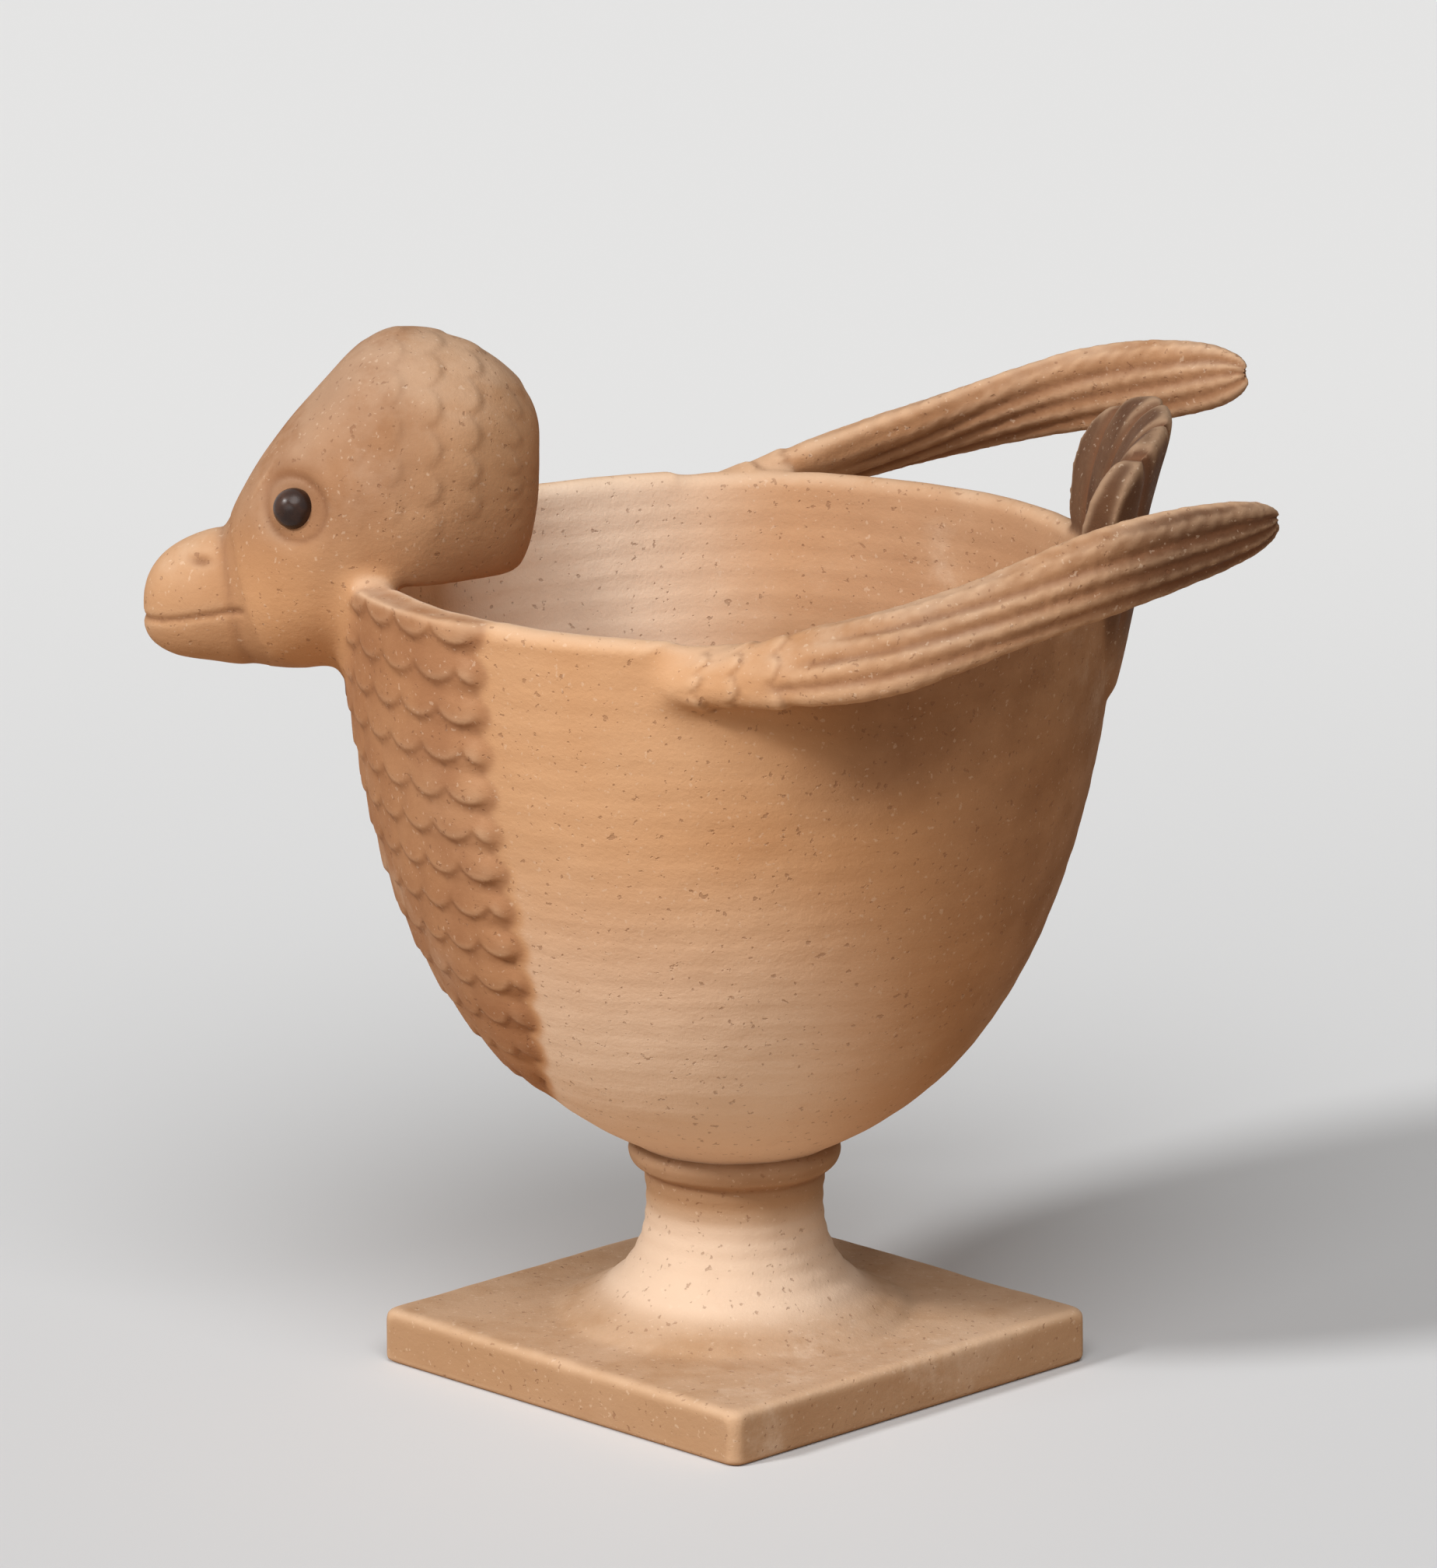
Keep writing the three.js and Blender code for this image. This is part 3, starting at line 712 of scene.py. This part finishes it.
class Paint:
    """A material's node tree, with short calls for the nodes that the clays are mixed from."""

    def __init__(self, name):
        self.material = bpy.data.materials.new(name)
        self.material.use_nodes = True
        self.tree = self.material.node_tree
        self.shader = self.tree.nodes["Principled BSDF"]
        self.place = node(self.tree, "ShaderNodeTexCoord").outputs["Object"]

    def link(self, source, target):
        self.tree.links.new(source, target)

    def feed(self, value, socket):
        """Sets a socket to a number or a colour, or links it to another node's output."""
        if isinstance(value, tuple):
            socket.default_value = (*value, 1)
        elif isinstance(value, (int, float)):
            socket.default_value = value
        else:
            self.link(value, socket)

    def noise(self, scale, detail, rough=0.55, stretch=None):
        made = node(self.tree, "ShaderNodeTexNoise")
        made.inputs["Scale"].default_value = scale
        made.inputs["Detail"].default_value = detail
        made.inputs["Roughness"].default_value = rough
        source = self.place
        if stretch:
            mapping = node(self.tree, "ShaderNodeMapping")
            mapping.inputs["Scale"].default_value = stretch
            self.link(source, mapping.inputs["Vector"])
            source = mapping.outputs["Vector"]
        self.link(source, made.inputs["Vector"])
        return made.outputs["Fac"]

    def ramp(self, source, low, high, start=0.0, end=1.0):
        made = node(self.tree, "ShaderNodeMapRange", interpolation_type="SMOOTHSTEP")
        self.link(source, made.inputs["Value"])
        for key, value in (("From Min", low), ("From Max", high), ("To Min", start), ("To Max", end)):
            made.inputs[key].default_value = value
        return made.outputs["Result"]

    def field(self, name):
        return node(self.tree, "ShaderNodeAttribute", attribute_name=name).outputs["Fac"]

    def axis(self, source, name):
        split = node(self.tree, "ShaderNodeSeparateXYZ")
        self.link(source, split.inputs[0])
        return split.outputs[name]

    def math(self, operation, a, b):
        made = node(self.tree, "ShaderNodeMath", operation=operation)
        self.feed(a, made.inputs[0])
        self.feed(b, made.inputs[1])
        return made.outputs[0]

    def blend(self, amount, under, over):
        made = node(self.tree, "ShaderNodeMix", data_type="RGBA")
        for value, socket in ((amount, 0), (under, 6), (over, 7)):
            self.feed(value, made.inputs[socket])
        return made.outputs[2]

    def coat(self, colour, tone, amount, share):
        """Lays a tone over a colour, by an amount times a share."""
        return self.blend(self.math("MULTIPLY", amount, share), colour, tone)

    def bump(self, source, strength, distance, under=None):
        made = node(self.tree, "ShaderNodeBump")
        made.inputs["Strength"].default_value = strength
        made.inputs["Distance"].default_value = distance
        self.link(source, made.inputs["Height"])
        if under is not None:
            self.link(under, made.inputs["Normal"])
        return made.outputs["Normal"]


# The tones that are laid over the fired clay, some of them painted light and painted shade
PALE_SLIP_AND_LIGHT = (0.92, 0.73, 0.565)
WASH_AND_SHADE_TONE = (0.25, 0.12, 0.058)
BREAST_TONE = (0.3, 0.125, 0.055)
PALE_ABOVE = (0.72, 0.53, 0.38)
SALT = (0.78, 0.62, 0.48)
TIP_SHADE = (0.085, 0.036, 0.017)
RUBBED = (0.78, 0.53, 0.34)
HOLLOW_SHADE = (0.2, 0.085, 0.04)
GROG = (0.23, 0.1, 0.05)
GRIT = (0.85, 0.68, 0.52)


def terracotta(name, middle, pale, deep, pale_above_share):
    """Unglazed clay: cloudy colour; pale slip, washes and a darker tone, with painted light and painted
    shade in them; paler on faces that look up; painted shade on the tail, the wing tips and in the hollows;
    rubbed edges and grog.
    """
    p = Paint(name)
    colour = p.coat(middle, pale, p.ramp(p.noise(11, 3), 0.36, 0.68), 0.6)
    colour = p.coat(colour, deep, p.ramp(p.noise(7.5, 4, 0.6, (1, 1, 0.6)), 0.52, 0.74), 0.55)
    colour = p.coat(colour, deep, p.ramp(p.noise(24, 5, 0.6, (1, 1, 1.8)), 0.4, 0.72), 0.14)
    # Pale slip, with painted light in it
    colour = p.coat(colour, PALE_SLIP_AND_LIGHT, p.field("slip_and_light"), p.ramp(p.noise(40, 5, 0.65), 0.15, 0.5, 0.7, 0.95))
    # Darker wash, with painted shade and painted light in it
    colour = p.coat(colour, WASH_AND_SHADE_TONE, p.field("wash_and_painted_shade"), p.ramp(p.noise(30, 5, 0.6), 0.25, 0.7, 0.5, 0.85))
    # Darker tone on the breast and head, with painted light near the head
    colour = p.coat(colour, BREAST_TONE, p.field("breast"), p.ramp(p.noise(50, 5, 0.6), 0.25, 0.7, 0.45, 0.75))
    normal = node(p.tree, "ShaderNodeNewGeometry").outputs["Normal"]
    # Paler on the faces that look up
    level = p.ramp(p.axis(normal, "Z"), 0.1, 0.85)
    pale_above = p.math("MULTIPLY", level, p.ramp(p.noise(38, 5, 0.65), 0.3, 0.62))
    colour = p.coat(colour, PALE_ABOVE, pale_above, pale_above_share)
    salt = p.math("MULTIPLY", p.ramp(p.noise(22, 7, 0.7), 0.53, 0.7), p.ramp(p.noise(5, 2), 0.45, 0.62))
    colour = p.coat(colour, SALT, salt, 0.4)
    # Painted shade on the tail and the wing tips
    colour = p.coat(colour, TIP_SHADE, p.field("painted_tip_shade"), p.ramp(p.noise(45, 5, 0.65), 0.25, 0.7, 0.8, 0.98))
    colour = p.coat(colour, RUBBED, p.field("worn"), 0.35)
    # Painted shade in the hollows and grooves
    colour = p.coat(colour, HOLLOW_SHADE, p.field("hollow_shade"), 0.6)
    grog = p.ramp(p.noise(520, 2, 0.5), 0.66, 0.72)
    colour = p.coat(colour, GROG, grog, 0.42)
    colour = p.coat(colour, GRIT, p.ramp(p.noise(640, 2, 0.5), 0.345, 0.29), 0.24)
    p.link(colour, p.shader.inputs["Base Color"])
    p.link(p.ramp(p.noise(60, 4), 0.3, 0.7, 0.78, 0.96), p.shader.inputs["Roughness"])
    p.shader.inputs["Specular IOR Level"].default_value = 0.22
    grain = p.bump(p.noise(900, 4, 0.65), 0.35, 0.0004)
    drag = p.bump(p.noise(210, 5, 0.6, (1, 1, 1.7)), 0.32, 0.0006, grain)
    pits = p.bump(p.math("SUBTRACT", 0.0, grog), 0.5, 0.0004, drag)
    p.link(pits, p.shader.inputs["Normal"])
    return p.material


def bead_glaze():
    """Dark slip fired to a soft shine."""
    p = Paint("dark_bead")
    colour = p.blend(p.ramp(p.noise(160, 4), 0.35, 0.7), (0.022, 0.01, 0.007), (0.06, 0.026, 0.015))
    p.link(colour, p.shader.inputs["Base Color"])
    p.link(p.ramp(p.noise(300, 3), 0.3, 0.7, 0.2, 0.36), p.shader.inputs["Roughness"])
    p.shader.inputs["Specular IOR Level"].default_value = 0.3
    p.link(p.bump(p.noise(500, 3), 0.2, 0.0002), p.shader.inputs["Normal"])
    return p.material


def floor_paper():
    """Pale paper, a little lighter further back, which is painted light, and whose reflected light on the
    object is warm.
    """
    p = Paint("floor_paper")
    # Lighter further back: painted light
    depth = p.ramp(p.axis(p.place, "Y"), -0.3, 1.3)
    tone = p.blend(depth, (0.68, 0.695, 0.71), (0.83, 0.845, 0.855))
    p.link(p.blend(seen(p.tree), (0.45, 0.32, 0.21), tone), p.shader.inputs["Base Color"])
    p.shader.inputs["Roughness"].default_value = 0.9
    p.shader.inputs["Specular IOR Level"].default_value = 0.1
    return p.material


# The clays on their pieces, and what the pieces replace
body_clay = terracotta("body_clay", (0.6, 0.32, 0.155), (0.68, 0.42, 0.24), (0.45, 0.21, 0.09), 0.4)
foot_clay = terracotta("foot_clay", (0.44, 0.26, 0.14), (0.52, 0.335, 0.205), (0.35, 0.18, 0.085), 0.32)
body.data.materials.append(body_clay)
pedestal.data.materials.append(foot_clay)
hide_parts("bowl", "breast", "head", "beak", "wing_far", "wing_near", "tail")
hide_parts("plinth", "stem", "collar")
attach(body, "root")
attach(pedestal, "root")


def bead_form(steps=24, flat=0.82):
    """The far eye's bead, a little flattened against the head."""
    rings = []
    for i in range(1, steps):
        a = math.pi * i / steps
        wide = eye_r * math.sin(a)
        centre = eye - [0, flat * eye_r * math.cos(a), 0]
        rings.append(oval(centre, [wide, 0, 0], [0, 0, wide], facets=2 * steps))
    return loft(rings)


bead = bead_glaze()
for name, form in (("eye_far", bead_form()), ("eye_near", mirrored(bead_form()))):
    piece = mesh_object(name.replace("eye", "bead"), *form)
    for polygon in piece.data.polygons:
        polygon.use_smooth = True
    piece.data.materials.append(bead)
    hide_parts(name)
    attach(piece, "root")


def lamp(azimuth, elevation, strength, spread, colour=(1, 1, 1)):
    """A distant soft lamp, at an azimuth from the camera's side and a height above the floor, in degrees."""
    light = bpy.data.lights.new("lamp", "SUN")
    light.energy = strength
    light.angle = math.radians(spread)
    light.color = colour
    made = bpy.data.objects.new("lamp", light)
    bpy.context.scene.collection.objects.link(made)
    a, e = math.radians(azimuth), math.radians(elevation)
    towards = Vector((math.sin(a) * math.cos(e), -math.cos(a) * math.cos(e), math.sin(e)))
    made.rotation_euler = (-towards).to_track_quat("-Z", "Y").to_euler()


# A key lamp at the left, a broad one over the camera and a low fill
lamp(azimuth=-58, elevation=36, strength=2.0, spread=9, colour=(1, 0.99, 0.98))
lamp(azimuth=4, elevation=50, strength=1.95, spread=45)
lamp(azimuth=-25, elevation=4, strength=0.55, spread=40)

# A dim warm world, pale where it is seen
world = bpy.data.worlds.new("studio")
world.use_nodes = True
bpy.context.scene.world = world
sky = world.node_tree
background = sky.nodes["Background"]
shown = seen(sky)
level = node(sky, "ShaderNodeMapRange")
level.inputs["To Min"].default_value = 0.07
level.inputs["To Max"].default_value = 0.74
sky.links.new(shown, level.inputs["Value"])
sky.links.new(level.outputs["Result"], background.inputs["Strength"])
tint = node(sky, "ShaderNodeMix", data_type="RGBA")
tint.inputs[6].default_value = (1, 0.76, 0.56, 1)
tint.inputs[7].default_value = (1, 1, 1, 1)
sky.links.new(shown, tint.inputs[0])
sky.links.new(tint.outputs[2], background.inputs["Color"])

# The floor
FLOOR_HALF = 9000  # millimetres
corners = [(sx * FLOOR_HALF, sy * FLOOR_HALF, 0) for sx, sy in ((-1, -1), (1, -1), (1, 1), (-1, 1))]
floor = mesh_object("floor", corners, [(0, 1, 2, 3)])
floor.data.materials.append(floor_paper())

# The photograph's side view, from a little above, through a long lens
AIM = Vector((-4.4, 0, 161.5)) * MM
CAMERA_TILT, CAMERA_AWAY = math.radians(14.5), 3.0
camera = bpy.data.objects.new("camera", bpy.data.cameras.new("camera"))
bpy.context.scene.collection.objects.link(camera)
camera.location = AIM + CAMERA_AWAY * Vector((0, -math.cos(CAMERA_TILT), math.sin(CAMERA_TILT)))
camera.rotation_euler = (AIM - camera.location).to_track_quat("-Z", "Y").to_euler()
camera.data.lens = 257.14
camera.data.sensor_width = 36
camera.data.clip_end = 60
bpy.context.scene.camera = camera
bpy.context.scene.view_settings.view_transform = "Standard"
